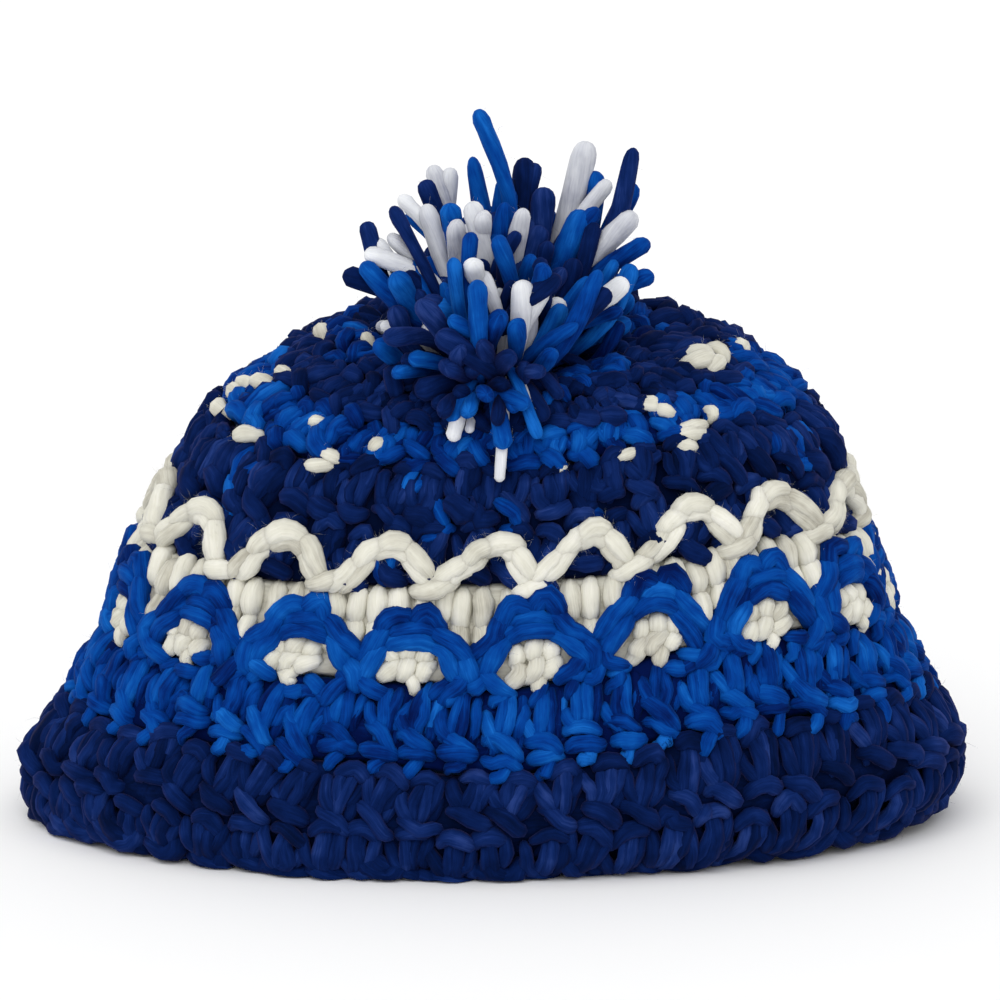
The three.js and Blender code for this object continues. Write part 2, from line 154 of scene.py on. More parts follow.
def middle(turn, fabric):
    """The middle of the fabric: its section's outline, less the dents and the rim's tuck, plus gathers."""
    turn, fabric = np.broadcast_arrays(np.asarray(turn, float), np.asarray(fabric, float))
    height, wide, deep, x, y, tilt, square = np.moveaxis(section_at(fabric + rise_at(turn, fabric)), -1, 0)
    angle = np.interp(turn - np.floor(turn), BAND_TURNS, BAND_ANGLES)
    radius = outline(angle, wide, deep, square)
    for at, up, spread, tall, depth in DENTS:
        radius = radius - depth * bell(apart(turn, at), spread) * bell(fabric - up, tall)
    low = np.clip(1 - np.maximum(0, fabric) / TUCK_REACH, 0, 1)
    radius = radius - TUCK_DEPTH * low * bell(apart(turn, TUCK_TURN), TUCK_SPREAD)
    gathered = smooth(*GATHERED_FROM, fabric) * (1 - smooth(*GATHERED_TO, fabric))
    gather = GATHER_HEIGHT * gathered * np.cos(2 * math.pi * GATHERS * turn)
    back = radius * np.sin(angle)
    up = height + np.tan(np.radians(tilt)) * back + gather
    return np.stack([x + radius * np.cos(angle), y + back, up], axis=-1)


def unit(vectors):
    """Vectors divided by their lengths."""
    return vectors / np.maximum(np.linalg.norm(vectors, axis=-1, keepdims=True), 1e-9)


def facing(turn, fabric):
    """The way out of the hat: the step along a round crossed with the step up the fabric."""
    fabric = np.asarray(fabric, float)
    along = middle(turn + 0.002, fabric) - middle(turn - 0.002, fabric)
    low = np.maximum(0, fabric - 0.5)
    return unit(np.cross(along, middle(turn, low + 1) - middle(turn, low)))


# The rim curls up off the table at the sides: turn, how wide, and how high in millimetres
RIM_LIFTS = [(0.21, 0.075, 6.5), (0.828, 0.045, 4.0)]


def place(turn, fabric, out):
    """A point at a distance out from the middle of the fabric; under the rim it goes straight down."""
    below = np.minimum(0, fabric)
    point = middle(turn, np.maximum(0, fabric)) + facing(turn, fabric) * np.asarray(out)[..., None]
    point[..., 2] += below
    for at, spread, height in RIM_LIFTS:
        point[..., 2] += height * bell(apart(turn, at), spread) * (1 - smooth(4, 30, fabric))
    return point


def through(points, parts):
    """A smooth curve through each row of points, at parts from 0 to 1: the Catmull-Rom cubic."""
    ends = np.concatenate([
        2 * points[:, :1] - points[:, 1:2],
        points,
        2 * points[:, -1:] - points[:, -2:-1],
    ], axis=1)
    at = np.asarray(parts) * (points.shape[1] - 1)
    i = np.minimum(at.astype(int), points.shape[1] - 2)
    t = (at - i)[None, :, None]
    a, b, c, d = (ends[:, i + k] for k in range(4))
    return 0.5 * (
        2 * b + (c - a) * t + (2 * a - 5 * b + 4 * c - d) * t**2 + (3 * b - a - 3 * c + d) * t**3
    )


STRAND_PARTS = np.array([0, 0.04, 0.13, 0.25, 0.375, 0.5, 0.625, 0.75, 0.87, 0.96, 1])
# A strand is fattest in its middle and thin where it goes under its neighbours
LEAF = 0.66 + 0.34 * np.sin(math.pi * STRAND_PARTS)


def tubes(centres, radius, shade, tint, rng, sides=7, flat=0.88, swell=1.0, twist=0.05):
    """Closed tubes along rows of points: a ring of sides at each inner point, a pole at each end.

    A ring's radius is the strand's, times a half circle's profile near its ends, times swell, and a
    little uneven. The ring's frame is carried along the path without turning: each station drops its
    part along the new direction. Each point also gets its fibre place, which is the length along the
    strand and the ring's cosine and sine, turned by twist for each millimetre, and the strand's own
    tint and shade."""
    count, stations = centres.shape[:2]
    steps = np.linalg.norm(np.diff(centres, axis=1), axis=-1)
    along = np.concatenate([np.zeros((count, 1)), np.cumsum(steps, axis=1)], axis=1)
    radius = np.broadcast_to(radius, (count,))[:, None]
    ends = np.minimum(along, along[:, -1:] - along) / radius
    reach = radius * swell * np.sqrt(np.maximum(0, 1 - (1 - np.minimum(1, ends)) ** 2))
    reach = reach * (1 + rng.normal(size=reach.shape) * 0.035)
    run = unit(np.gradient(centres, axis=1))
    side = unit(np.cross(run[:, 0], rng.normal(size=(count, 3))))
    sideways = [side]
    for k in range(1, stations):
        side = unit(side - (side * run[:, k]).sum(-1, keepdims=True) * run[:, k])
        sideways.append(side)
    side = np.stack(sideways, axis=1)[:, :, None]
    other = np.cross(run[:, :, None], side)
    angle = 2 * math.pi * np.arange(sides) / sides
    cos, sin = np.cos(angle)[:, None], np.sin(angle)[:, None]
    rings = centres[:, :, None] + reach[..., None, None] * (side * cos + other * sin * flat)
    points = np.concatenate([rings[:, 1:-1].reshape(-1, 3), centres[:, 0], centres[:, -1]])

    turned = angle + twist * along[:, 1:-1, None] + rng.uniform(0, 6.28, (count, 1, 1))
    start = rng.uniform(0, 900, (count, 1))
    length = np.broadcast_to((start + along)[:, 1:-1, None], turned.shape)
    wide = radius[..., None]
    fibre = np.stack([length, wide * np.cos(turned), wide * np.sin(turned)], axis=-1).reshape(-1, 3)
    caps = [np.stack([start[:, 0] + along[:, k], 0 * start[:, 0], 0 * start[:, 0]], -1) for k in (0, -1)]
    inside = (stations - 2) * sides

    def each(values):
        """A value of each strand, or of each of its stations, repeated for the points of the rings."""
        values = np.asarray(values, float)
        values = np.broadcast_to(values[:, None] if values.ndim == 1 else values, (count, stations))
        ringed = np.repeat(values[:, 1:-1], sides, axis=1).ravel()
        return np.concatenate([ringed, values[:, 0], values[:, -1]])

    first = np.arange(count)[:, None, None] * inside
    ring = np.arange(stations - 3)[:, None] * sides
    here = np.arange(sides)
    then = (here + 1) % sides
    low, high = first + ring, first + ring + sides
    quads = np.stack([low + here, low + then, high + then, high + here], axis=-1).reshape(-1, 4)
    pole = count * inside + np.arange(count)[:, None]
    first, last = first[..., 0], first[..., 0] + (stations - 3) * sides
    caps_in = np.stack(np.broadcast_arrays(pole, first + then, first + here), -1)
    caps_out = np.stack(np.broadcast_arrays(pole + count, last + here, last + then), -1)
    return {
        "points": points,
        "quads": quads,
        "triangles": np.concatenate([caps_in.reshape(-1, 3), caps_out.reshape(-1, 3)]),
        "fibre": np.concatenate([fibre, *caps]),
        "tint": each(tint),
        "shade": each(shade),
    }


# Millimetres between the lowest yarn and the table, and how far above that yarn is pressed flatter
TABLE_GAP = 0.25
PRESSED = 1.5


def add_piece(name, parts, material):
    """One mesh from several parts, with their fibre, tint and shade.

    Yarn flattens where it meets the table: lower than the pressed height, what is left above the gap is
    an exponential of the height, so that no two strands end in one plane."""
    offsets = np.cumsum([0] + [len(part["points"]) for part in parts])
    points = np.concatenate([part["points"] for part in parts])
    pressed_from = TABLE_GAP + PRESSED
    low = np.minimum(points[:, 2], pressed_from)
    points[:, 2] += TABLE_GAP + PRESSED * np.exp((low - pressed_from) / PRESSED) - low
    quads = np.concatenate([part["quads"] + o for part, o in zip(parts, offsets)])
    triangles = np.concatenate([part["triangles"] + o for part, o in zip(parts, offsets)])
    mesh = bpy.data.meshes.new(name)
    mesh.vertices.add(len(points))
    mesh.vertices.foreach_set("co", (points * 0.001).ravel())
    corners = np.concatenate([quads.ravel(), triangles.ravel()])
    mesh.loops.add(len(corners))
    mesh.loops.foreach_set("vertex_index", corners)
    fours, threes = np.arange(len(quads)) * 4, np.arange(len(triangles)) * 3
    mesh.polygons.add(len(fours) + len(threes))
    mesh.polygons.foreach_set("loop_start", np.concatenate([fours, 4 * len(quads) + threes]))
    mesh.update(calc_edges=True)
    mesh.shade_smooth()
    fibre = mesh.attributes.new("fibre", "FLOAT_VECTOR", "POINT")
    fibre.data.foreach_set("vector", np.concatenate([part["fibre"] for part in parts]).ravel())
    for kind in ("tint", "shade"):
        attribute = mesh.attributes.new(kind, "FLOAT", "POINT")
        attribute.data.foreach_set("value", np.concatenate([part[kind] for part in parts]))
    mesh.materials.append(material)
    piece = bpy.data.objects.new(name, mesh)
    bpy.context.scene.collection.objects.link(piece)
    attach(piece, "root")
    return piece


class Link:
    """An output socket of a material's nodes. Arithmetic on it adds Math nodes, node() any other kind."""

    def __init__(self, tree, socket=None):
        self.tree = tree
        self.socket = socket

    def node(self, kind, settings, sockets, output=0):
        """A node of a kind: its settings first, then its sockets' values or links; the output's link."""
        made = self.tree.nodes.new(kind)
        for name, value in settings.items():
            if name == "stops":
                ramp = made.color_ramp.elements
                while len(ramp) < len(value):
                    ramp.new(1)
                for element, (at, colour) in zip(ramp, value):
                    element.position = at
                    element.color = (*colour, 1)
            else:
                setattr(made, name, value)
        for name, value in sockets.items():
            if isinstance(value, Link):
                self.tree.links.new(value.socket, made.inputs[name])
            else:
                made.inputs[name].default_value = value
        return Link(self.tree, made.outputs[output] if made.outputs else None)

    def math(self, operation, first, second=0.0):
        """A Math node on two values or links."""
        return self.node("ShaderNodeMath", {"operation": operation}, {0: first, 1: second})

    def __add__(self, other):
        return self.math("ADD", self, other)

    def __sub__(self, other):
        return self.math("SUBTRACT", self, other)

    def __rsub__(self, other):
        return self.math("SUBTRACT", other, self)

    def __mul__(self, other):
        return self.math("MULTIPLY", self, other)

    __radd__ = __add__
    __rmul__ = __mul__


def linear(red, green, blue):
    """A screen colour of 0 to 255 as linear light: the sRGB curve."""
    parts = (red / 255, green / 255, blue / 255)
    return tuple(c / 12.92 if c <= 0.04045 else ((c + 0.055) / 1.055) ** 2.4 for c in parts)


def yarn(name, colours, roughness, sheen, sheen_tint, bump, soft=0.0):
    """Roving yarn: streaks along the fibres pick a colour from shaded to lit, and raise the surface.

    The streaks are noise on the fibre place, stretched along the strand. Broad creases and fine hairs are
    two scales of it. The strand's tint and a slow mottle shift the colour, and shade darkens it as painted
    shade. The five colours lie evenly over the range that the noise reaches."""
    material = bpy.data.materials.new(name)
    material.use_nodes = True
    material.node_tree.nodes.clear()
    tree = Link(material.node_tree)
    fibre = tree.node("ShaderNodeAttribute", {"attribute_name": "fibre"}, {}, "Vector")
    tint = tree.node("ShaderNodeAttribute", {"attribute_name": "tint"}, {}, "Fac")
    shade = tree.node("ShaderNodeAttribute", {"attribute_name": "shade"}, {}, "Fac")
    spot = tree.node("ShaderNodeTexCoord", {}, {}, "Object")
    drawn_out = tree.node(
        "ShaderNodeVectorMath", {"operation": "MULTIPLY"}, {0: fibre, 1: (0.1, 1.0, 1.0)}
    )
    crease = tree.node("ShaderNodeTexNoise", {}, {"Vector": drawn_out, "Scale": 0.8, "Detail": 1.0})
    hair = tree.node("ShaderNodeTexNoise", {}, {"Vector": drawn_out, "Scale": 3.0, "Detail": 2.0})
    mottle = tree.node("ShaderNodeTexNoise", {}, {"Vector": spot, "Scale": 140.0, "Detail": 2.0})
    # Streaks, mottle and tint are the yarn's own tone; the shade attribute subtracts painted shade
    lit = crease * 0.4 + hair * 0.35 + mottle * 0.6 + tint * 0.75 - shade * 0.5 - 0.175
    stops = [(0.18 + 0.16 * k, colour) for k, colour in enumerate(colours)]
    colour = tree.node("ShaderNodeValToRGB", {"stops": stops}, {"Fac": lit}, "Color")
    height = crease * 0.6 + hair * 0.4
    normal = tree.node(
        "ShaderNodeBump", {}, {"Strength": bump, "Distance": 0.0007, "Height": height}, "Normal"
    )
    shader = tree.node("ShaderNodeBsdfPrincipled", {}, {
        "Base Color": colour,
        "Roughness": roughness,
        "Specular IOR Level": 0.04,
        "Sheen Weight": sheen,
        "Sheen Roughness": 0.4,
        "Sheen Tint": (*sheen_tint, 1),
        "Subsurface Weight": soft,
        "Subsurface Radius": (0.004, 0.004, 0.0035),
        "Subsurface Scale": 0.6,
        "Normal": normal,
    })
    tree.node("ShaderNodeOutputMaterial", {}, {"Surface": shader})
    return material


# One stitch of the navy rounds, strand by strand. Each point is across in stitch widths, up in round
# heights and out in millimetres from the middle of the fabric; then the strand's radius and shade.
TALL_STITCH = [
    ([(-0.02, 0.12, 1), (0.05, 0.3, 3), (0.1, 0.52, 3.5), (0.14, 0.74, 3.1), (0.18, 0.96, 0.8)],
     2.1, 0),
    ([(-0.2, 0.1, 1), (-0.14, 0.3, 2.8), (-0.08, 0.52, 3.3), (-0.02, 0.74, 3), (0.02, 0.94, 0.8)],
     2.0, 0),
    ([(-0.5, 0.8, 0.4), (-0.44, 0.64, 2.4), (-0.34, 0.46, 3), (-0.18, 0.3, 2.8), (0, 0.16, 1)],
     2.2, 0),
    ([(-0.5, 0.24, 0.4), (-0.26, 0.26, 3), (0.02, 0.16, 3.8), (0.26, 0.06, 3.2), (0.46, 0, 0.6)],
     2.7, 0),
    ([(-0.34, 0.8, 0.6), (-0.12, 0.93, 2.8), (0.12, 0.95, 3.2), (0.34, 0.88, 2.6), (0.5, 0.78, 0.6)],
     2.4, 0),
    ([(0.1, 0.28, 0.6), (0.22, 0.42, 2.4), (0.32, 0.58, 2.9), (0.42, 0.74, 2.4), (0.5, 0.9, 0.6)],
     2.0, 0),
    ([(0.1, 0.1, 0.4), (0.22, 0.26, 1.6), (0.32, 0.44, 2), (0.38, 0.62, 1.6), (0.42, 0.8, 0.4)],
     2.0, 0.25),
]
# The inside of the fabric, which shows from below; its strands carry a little painted shade
INNER_STITCH = [
    ([(-0.45, 0.1, -1.6), (-0.2, 0.3, -3), (0.1, 0.55, -3.2), (0.3, 0.8, -2.6), (0.45, 0.98, -1.4)],
     2.5, 0.2),
    ([(0.45, 0.05, -1.5), (0.3, 0.25, -2.4), (0, 0.5, -2.4), (-0.25, 0.75, -2.2), (-0.4, 0.9, -1.2)],
     2.2, 0.4),
]


def stitches(
    count, low, high, recipe, rng,
    loose=1.0, phase=0.0, sides=7, keep=None, warp=0.0, dark=0.0, thin=1.0,
):
    """A round of stitches: each strand's points plus chance, through a smooth curve, on the surface.

    Chance moves and turns a whole stitch a little and each point a little less, by as much as the round
    is loose. warp spreads the stitches at the front: it is a sine of two waves a turn, in stitches.
    keep picks strands by the turn and the distance up the fabric of their middles. dark is added to
    every strand's shade, and thin multiplies its radius."""
    points = np.array([points for points, _, _ in recipe])
    radius = np.array([radius for _, radius, _ in recipe])
    shade = np.array([shade for _, _, shade in recipe])
    whole = rng.normal(size=(count, 1, 1, 3)) * (0.06, 0.05, 0.35) * loose
    each = rng.normal(size=(count, *points.shape)) * (0.035, 0.025, 0.3) * loose
    own = points + whole + each
    swing = rng.normal(size=(count, 1, 1)) * 0.14 * loose
    across, up = own[..., 0].copy(), own[..., 1] - 0.45
    own[..., 0] = across * np.cos(swing) - up * np.sin(swing)
    own[..., 1] = 0.45 + across * np.sin(swing) + up * np.cos(swing)
    own = own.reshape(-1, *points.shape[1:])
    first = np.repeat(np.arange(count) + phase, len(recipe))[:, None]
    own[..., 0] = (first + own[..., 0]) / count
    own[..., 0] += warp / count * np.sin(4 * math.pi * own[..., 0])
    own[..., 1] = low + own[..., 1] * (high - low)
    curve = through(own, STRAND_PARTS)
    centres = place(curve[..., 0], curve[..., 1], curve[..., 2])
    radii = np.tile(radius, count) * thin * np.exp(rng.normal(size=len(own)) * 0.08 * loose)
    tint = np.clip(rng.normal(size=len(own)) * 0.13, -0.24, 0.24)
    shades = np.tile(shade, count) + dark
    if keep is not None:
        kept = keep(curve[:, 5, 0], curve[:, 5, 1])
        centres, radii, tint, shades = centres[kept], radii[kept], tint[kept], shades[kept]
    return tubes(centres, radii, shades, tint, rng, sides=sides, swell=LEAF)


def backing(low, high, face, turns, shade, rng):
    """The closed ring of yarn behind a round's strands: a flat loop of eight points, carried round.

    Its shade darkens it with painted shade, for the deep gaps between the strands.
    """
    half = (low + high) / 2
    fabric = np.array([low, low + 1.5, half, high - 1.5, high, high - 1.5, half, low + 1.5])
    out = np.array([-0.5, face, face, face, -0.5, -1.6, -1.6, -1.6])
    turn = (np.arange(turns) / turns)[:, None]
    uneven = rng.normal(size=(turns, 8)) * 0.3
    points = place(turn + 0 * fabric, fabric + 0 * turn, out + uneven).reshape(-1, 3)
    first, then = np.arange(turns)[:, None] * 8, (np.arange(turns)[:, None] + 1) % turns * 8
    here, beside = np.arange(8), (np.arange(8) + 1) % 8
    quads = np.stack([first + here, then + here, then + beside, first + beside], axis=-1)
    return {
        "points": points,
        "quads": quads.reshape(-1, 4),
        "triangles": np.zeros((0, 3), int),
        "fibre": points * 0.5,
        "tint": np.zeros(len(points)),
        "shade": np.full(len(points), shade),
    }


# The chain of fat loops that the rim starts from
RIM_LOOP = [
    ([(-0.55, 0.36, 0.8), (-0.3, 0.18, 2.8), (0, 0.1, 3.3), (0.3, 0.14, 2.7), (0.5, 0.34, 0.5)],
     3.6, 0),
    ([(-0.3, 0.45, 1.5), (-0.12, 0.26, 3), (0.1, 0.1, 2.2), (0.2, 0.06, 0.5), (0.15, 0.1, -2)],
     3.2, 0),
    ([(-0.5, 0.14, -0.5), (-0.2, 0.1, -1.8), (0.1, 0.1, -2.4), (0.35, 0.12, -1.8), (0.5, 0.16, -0.5)],
     3.2, 0.2),
]
NAVY = [linear(0, 12, 44), linear(2, 19, 60), linear(5, 27, 76), linear(14, 38, 94), linear(34, 56, 116)]
navy_yarn = yarn("navy roving", NAVY, 0.85, 0.06, (0.4, 0.35, 1.0), 0.3)
# Stitches to each round up to the cream one, and steps to a turn of the ring behind them
ROUND = 54
RING = 160
rng = np.random.default_rng(11)
parts = [
    backing(1, 28, 1.8, RING, 0.5, rng),
    stitches(ROUND, 0, 14, TALL_STITCH, rng, loose=1.15),
    stitches(ROUND, 14, 28, TALL_STITCH, rng, loose=1.15, phase=0.4),
    stitches(ROUND, 0, 14, INNER_STITCH, rng, sides=6),
    stitches(ROUND, 14, 28, INNER_STITCH, rng, sides=6),
    stitches(46, 0, 15, RIM_LOOP, rng, loose=1.3),
]
rim_yarn = add_piece("rim_yarn", parts, navy_yarn)
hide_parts("rim_rounds")

# Royal round
# Above the rim is one deep round of royal blue stitches, and from its top a chain of arches, one to every
# three stitches, reaches up over the cream round. Tips of its strands poke into the navy below.

DEEP_STITCH = [
    ([(-0.02, 0.22, 1.2), (0.06, 0.38, 3), (0.11, 0.54, 3.5), (0.16, 0.72, 3.1), (0.2, 0.9, 0.8)],
     2.1, 0),
    ([(-0.2, 0.2, 1.2), (-0.14, 0.36, 2.8), (-0.09, 0.52, 3.3), (-0.03, 0.7, 3), (0.02, 0.87, 0.8)],
     2.0, 0),
    ([(-0.46, 0.64, 0.4), (-0.42, 0.54, 2.3), (-0.33, 0.42, 3), (-0.18, 0.3, 2.8), (0, 0.2, 1.2)],
     2.1, 0),
    ([(-0.5, 0.32, 0.4), (-0.26, 0.37, 2.8), (-0.02, 0.3, 3.8), (0.22, 0.22, 3.4), (0.44, 0.16, 0.6)],
     2.5, 0),
    ([(-0.46, 0.12, 0.4), (-0.2, 0.15, 3), (0.05, 0.13, 3.7), (0.28, 0.1, 3), (0.5, 0.08, 0.6)],
     2.4, 0),
    ([(-0.16, -0.12, 0.4), (-0.08, -0.06, 2.9), (0.02, -0.01, 3.6), (0.12, 0.04, 3.2), (0.2, 0.08, 0.8)],
     1.9, -0.15),
    ([(0.1, 0.8, 0.6), (0.28, 0.84, 2.8), (0.46, 0.89, 3.3), (0.62, 0.94, 2.7), (0.74, 1, 0.8)],
     2.1, 0),
    ([(-0.38, 0.95, 0.6), (-0.18, 0.93, 2.8), (0.02, 0.92, 3.2), (0.18, 0.93, 2.7), (0.32, 0.96, 0.8)],
     2.2, 0),
    ([(-0.34, 0.68, 0.4), (-0.26, 0.76, 2.5), (-0.14, 0.82, 2.9), (-0.02, 0.87, 2.5), (0.1, 0.92, 0.8)],
     1.9, 0),
    ([(0.24, 0.3, 0.6), (0.32, 0.44, 2.2), (0.4, 0.56, 2.6), (0.46, 0.68, 2.2), (0.5, 0.8, 0.6)],
     1.8, 0),
    ([(0.3, 0.2, 0.4), (0.34, 0.38, 1.4), (0.38, 0.56, 1.8), (0.4, 0.74, 1.4), (0.42, 0.9, 0.4)],
     2.0, 0.5),
]
# One royal arch, across in arches, from 50 mm up the fabric to 76: two thick strands behind, two legs
# of two, three over the crest and one under it, and three that spread from the left foot
ROYAL_ARCH = [
    ([(-0.46, 0.16, 0.8), (-0.38, 0.38, 2.4), (-0.28, 0.54, 2.8), (-0.17, 0.66, 2.8), (-0.04, 0.72, 2.2)],
     3.2, 0.1),
    ([(0.04, 0.72, 2.2), (0.17, 0.66, 2.8), (0.28, 0.52, 2.8), (0.38, 0.37, 2.4), (0.46, 0.16, 0.8)],
     3.2, 0.1),
    ([(-0.52, 0.32, 1), (-0.42, 0.45, 3.6), (-0.33, 0.59, 4.4), (-0.25, 0.73, 4.4), (-0.16, 0.86, 3)],
     2.8, 0),
    ([(-0.42, 0.02, 1), (-0.38, 0.2, 3.4), (-0.33, 0.35, 4.2), (-0.26, 0.47, 4.2), (-0.16, 0.56, 2.6)],
     2.8, 0),
    ([(-0.3, 0.56, 2), (-0.25, 0.74, 4.2), (-0.16, 0.9, 5), (-0.05, 0.9, 4.8), (0.0, 0.74, 2.6)],
     2.9, 0),
    ([(-0.24, 0.47, 1.6), (-0.12, 0.58, 4.2), (0.01, 0.62, 4.8), (0.13, 0.58, 4.2), (0.24, 0.47, 1.6)],
     2.8, 0),
    ([(0.0, 0.72, 2.6), (0.05, 0.88, 4.8), (0.14, 0.94, 5), (0.22, 0.8, 4.2), (0.27, 0.62, 2)],
     3.0, 0),
    ([(-0.18, 0.64, 2.6), (-0.09, 0.74, 4.8), (0.02, 0.76, 5.2), (0.13, 0.74, 4.8), (0.22, 0.62, 2.6)],
     2.6, 0),
    ([(0.15, 0.82, 3), (0.24, 0.7, 4.4), (0.33, 0.55, 4.4), (0.42, 0.4, 3.6), (0.52, 0.24, 1)],
     2.8, 0),
    ([(0.14, 0.58, 2.6), (0.26, 0.49, 4.2), (0.33, 0.36, 4.2), (0.39, 0.2, 3.4), (0.44, 0.04, 1)],
     2.8, 0),
    ([(-0.5, 0.46, 0.5), (-0.5, 0.36, 3.4), (-0.49, 0.24, 4), (-0.47, 0.1, 3.6), (-0.45, -0.02, 1)],
     2.8, 0),
    ([(-0.5, 0.3, 1.6), (-0.42, 0.18, 3.8), (-0.34, 0.08, 4), (-0.26, 0.01, 3.4), (-0.17, -0.04, 1)],
     2.4, 0),
    ([(-0.48, 0.26, 1.6), (-0.55, 0.12, 3.8), (-0.61, 0.02, 4), (-0.67, -0.07, 3.4), (-0.73, -0.14, 1)],
     2.3, 0),
]
ROYAL = [linear(0, 16, 68), linear(0, 35, 102), linear(1, 57, 137), linear(5, 74, 156), linear(18, 96, 182)]
royal_yarn = yarn("royal blue roving", ROYAL, 0.8, 0.06, (0.15, 0.45, 1.0), 0.32)

ARCHES = 18
# The first royal arch's middle, in arches from the front. They are a little wider at the front than at
# the sides: the warp is in arches too, a sine of two waves a turn
ROYAL_PHASE = 0.25
ROYAL_WARP = 0.17


def from_arch(turn):
    """How far a turn lies from the middle of the nearest royal arch, in arches."""
    arch = turn * ARCHES - ROYAL_PHASE - ROYAL_WARP * np.sin(4 * math.pi * turn)
    return np.abs(arch - np.round(arch))


def beside_windows(turn, fabric):
    """Whether a place is clear of the gaps under the royal arches, where the cream round shows.

    A gap reaches 0.24 of an arch to each side, from 48.5 mm up the fabric."""
    return (from_arch(turn) > 0.24) | (fabric < 48.5)


rng = np.random.default_rng(23)
parts = [
    backing(28, 52, 1.8, RING, 0.7, rng),
    stitches(ROUND, 28, 53, DEEP_STITCH, rng, loose=1.0, keep=beside_windows),
    stitches(
        ARCHES, 50, 76, ROYAL_ARCH, rng, loose=0.6, phase=ROYAL_PHASE, sides=9, warp=ROYAL_WARP
    ),
    stitches(ROUND, 28, 40, INNER_STITCH, rng, sides=6),
    stitches(ROUND, 40, 52, INNER_STITCH, rng, sides=6),
]
royal_round_yarn = add_piece("royal_round_yarn", parts, royal_yarn)
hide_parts("royal_round")

# Cream round
# A round of long cream stitches, which shows as tufts through the royal arches and as points between
# them. The gap under each arch has tufts of its own, and the round's stitches lie beside the arches.

CREAM_STITCH = [
    ([(-0.1, -0.05, 0.8), (-0.04, 0.1, 2.2), (0.03, 0.27, 2.7), (0.02, 0.43, 2.2), (-0.05, 0.58, 0.8)],
     3.1, 0),
    ([(0.06, 0.4, 0.8), (0, 0.56, 2.2), (0.02, 0.73, 2.7), (0.02, 0.9, 2.2), (0.06, 1.05, 0.8)],
     3.1, 0),
]
# The tufts that fill the gap under each royal arch, across in arches
WINDOW_TUFTS = [
    ([(-0.16, 0.55, 0.6), (-0.15, 0.64, 2.2), (-0.14, 0.73, 2.7), (-0.13, 0.82, 2.2), (-0.12, 0.9, 0.4)],
     2.8, 0),
    ([(-0.03, 0.6, 0.6), (-0.02, 0.68, 2.4), (-0.01, 0.77, 3), (0, 0.86, 2.4), (0.01, 0.94, 0.4)],
     3.0, 0),
    ([(0.1, 0.55, 0.6), (0.115, 0.64, 2.3), (0.13, 0.73, 2.7), (0.135, 0.82, 2.2), (0.14, 0.9, 0.4)],
     2.8, 0),
    ([(-0.22, 0.22, 0.6), (-0.19, 0.31, 2.3), (-0.15, 0.42, 2.8), (-0.12, 0.52, 2.4), (-0.09, 0.6, 0.6)],
     2.7, 0),
    ([(-0.07, 0.26, 0.6), (-0.05, 0.36, 2.6), (-0.02, 0.48, 3.1), (0.02, 0.58, 2.6), (0.04, 0.68, 0.6)],
     2.9, 0),
    ([(0.06, 0.3, 0.6), (0.1, 0.38, 2.4), (0.14, 0.45, 2.8), (0.18, 0.52, 2.3), (0.22, 0.58, 0.6)],
     2.7, 0),
    ([(0.04, 0, 0.5), (0.04, 0.1, 2.2), (0.04, 0.2, 2.8), (0.04, 0.32, 2.4), (0.02, 0.42, 0.6)],
     2.1, 0),
]
CREAM = [
    linear(166, 162, 149),
    linear(193, 190, 177),
    linear(210, 208, 195),
    linear(220, 218, 206),
    linear(230, 228, 218),
]
cream_yarn = yarn("cream roving", CREAM, 0.9, 0.05, (1.0, 1.0, 1.0), 0.4, soft=0.2)


def beside_arches(turn, fabric):
    """Whether a place is clear of the royal arches: 0.3 of an arch to the side, or above 70 mm."""
    return (from_arch(turn) > 0.3) | (fabric > 70)


rng = np.random.default_rng(37)
parts = [
    backing(52, 80, 1.9, RING, 0.3, rng),
    stitches(90, 60, 79.5, CREAM_STITCH, rng, loose=0.9, keep=beside_arches),
    stitches(
        ARCHES, 48, 64.5, WINDOW_TUFTS, rng, loose=0.45, phase=ROYAL_PHASE, warp=ROYAL_WARP
    ),
    stitches(ROUND, 52, 66, INNER_STITCH, rng, sides=6),
    stitches(ROUND, 66, 80, INNER_STITCH, rng, sides=6),
]
cream_round_yarn = add_piece("cream_round_yarn", parts, cream_yarn)
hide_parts("cream_round")

# Cream arches
# A second chain of arches in cream runs on from one to the next over the top of the cream round and over
# the navy rounds. They are the fluffiest yarn on the hat.

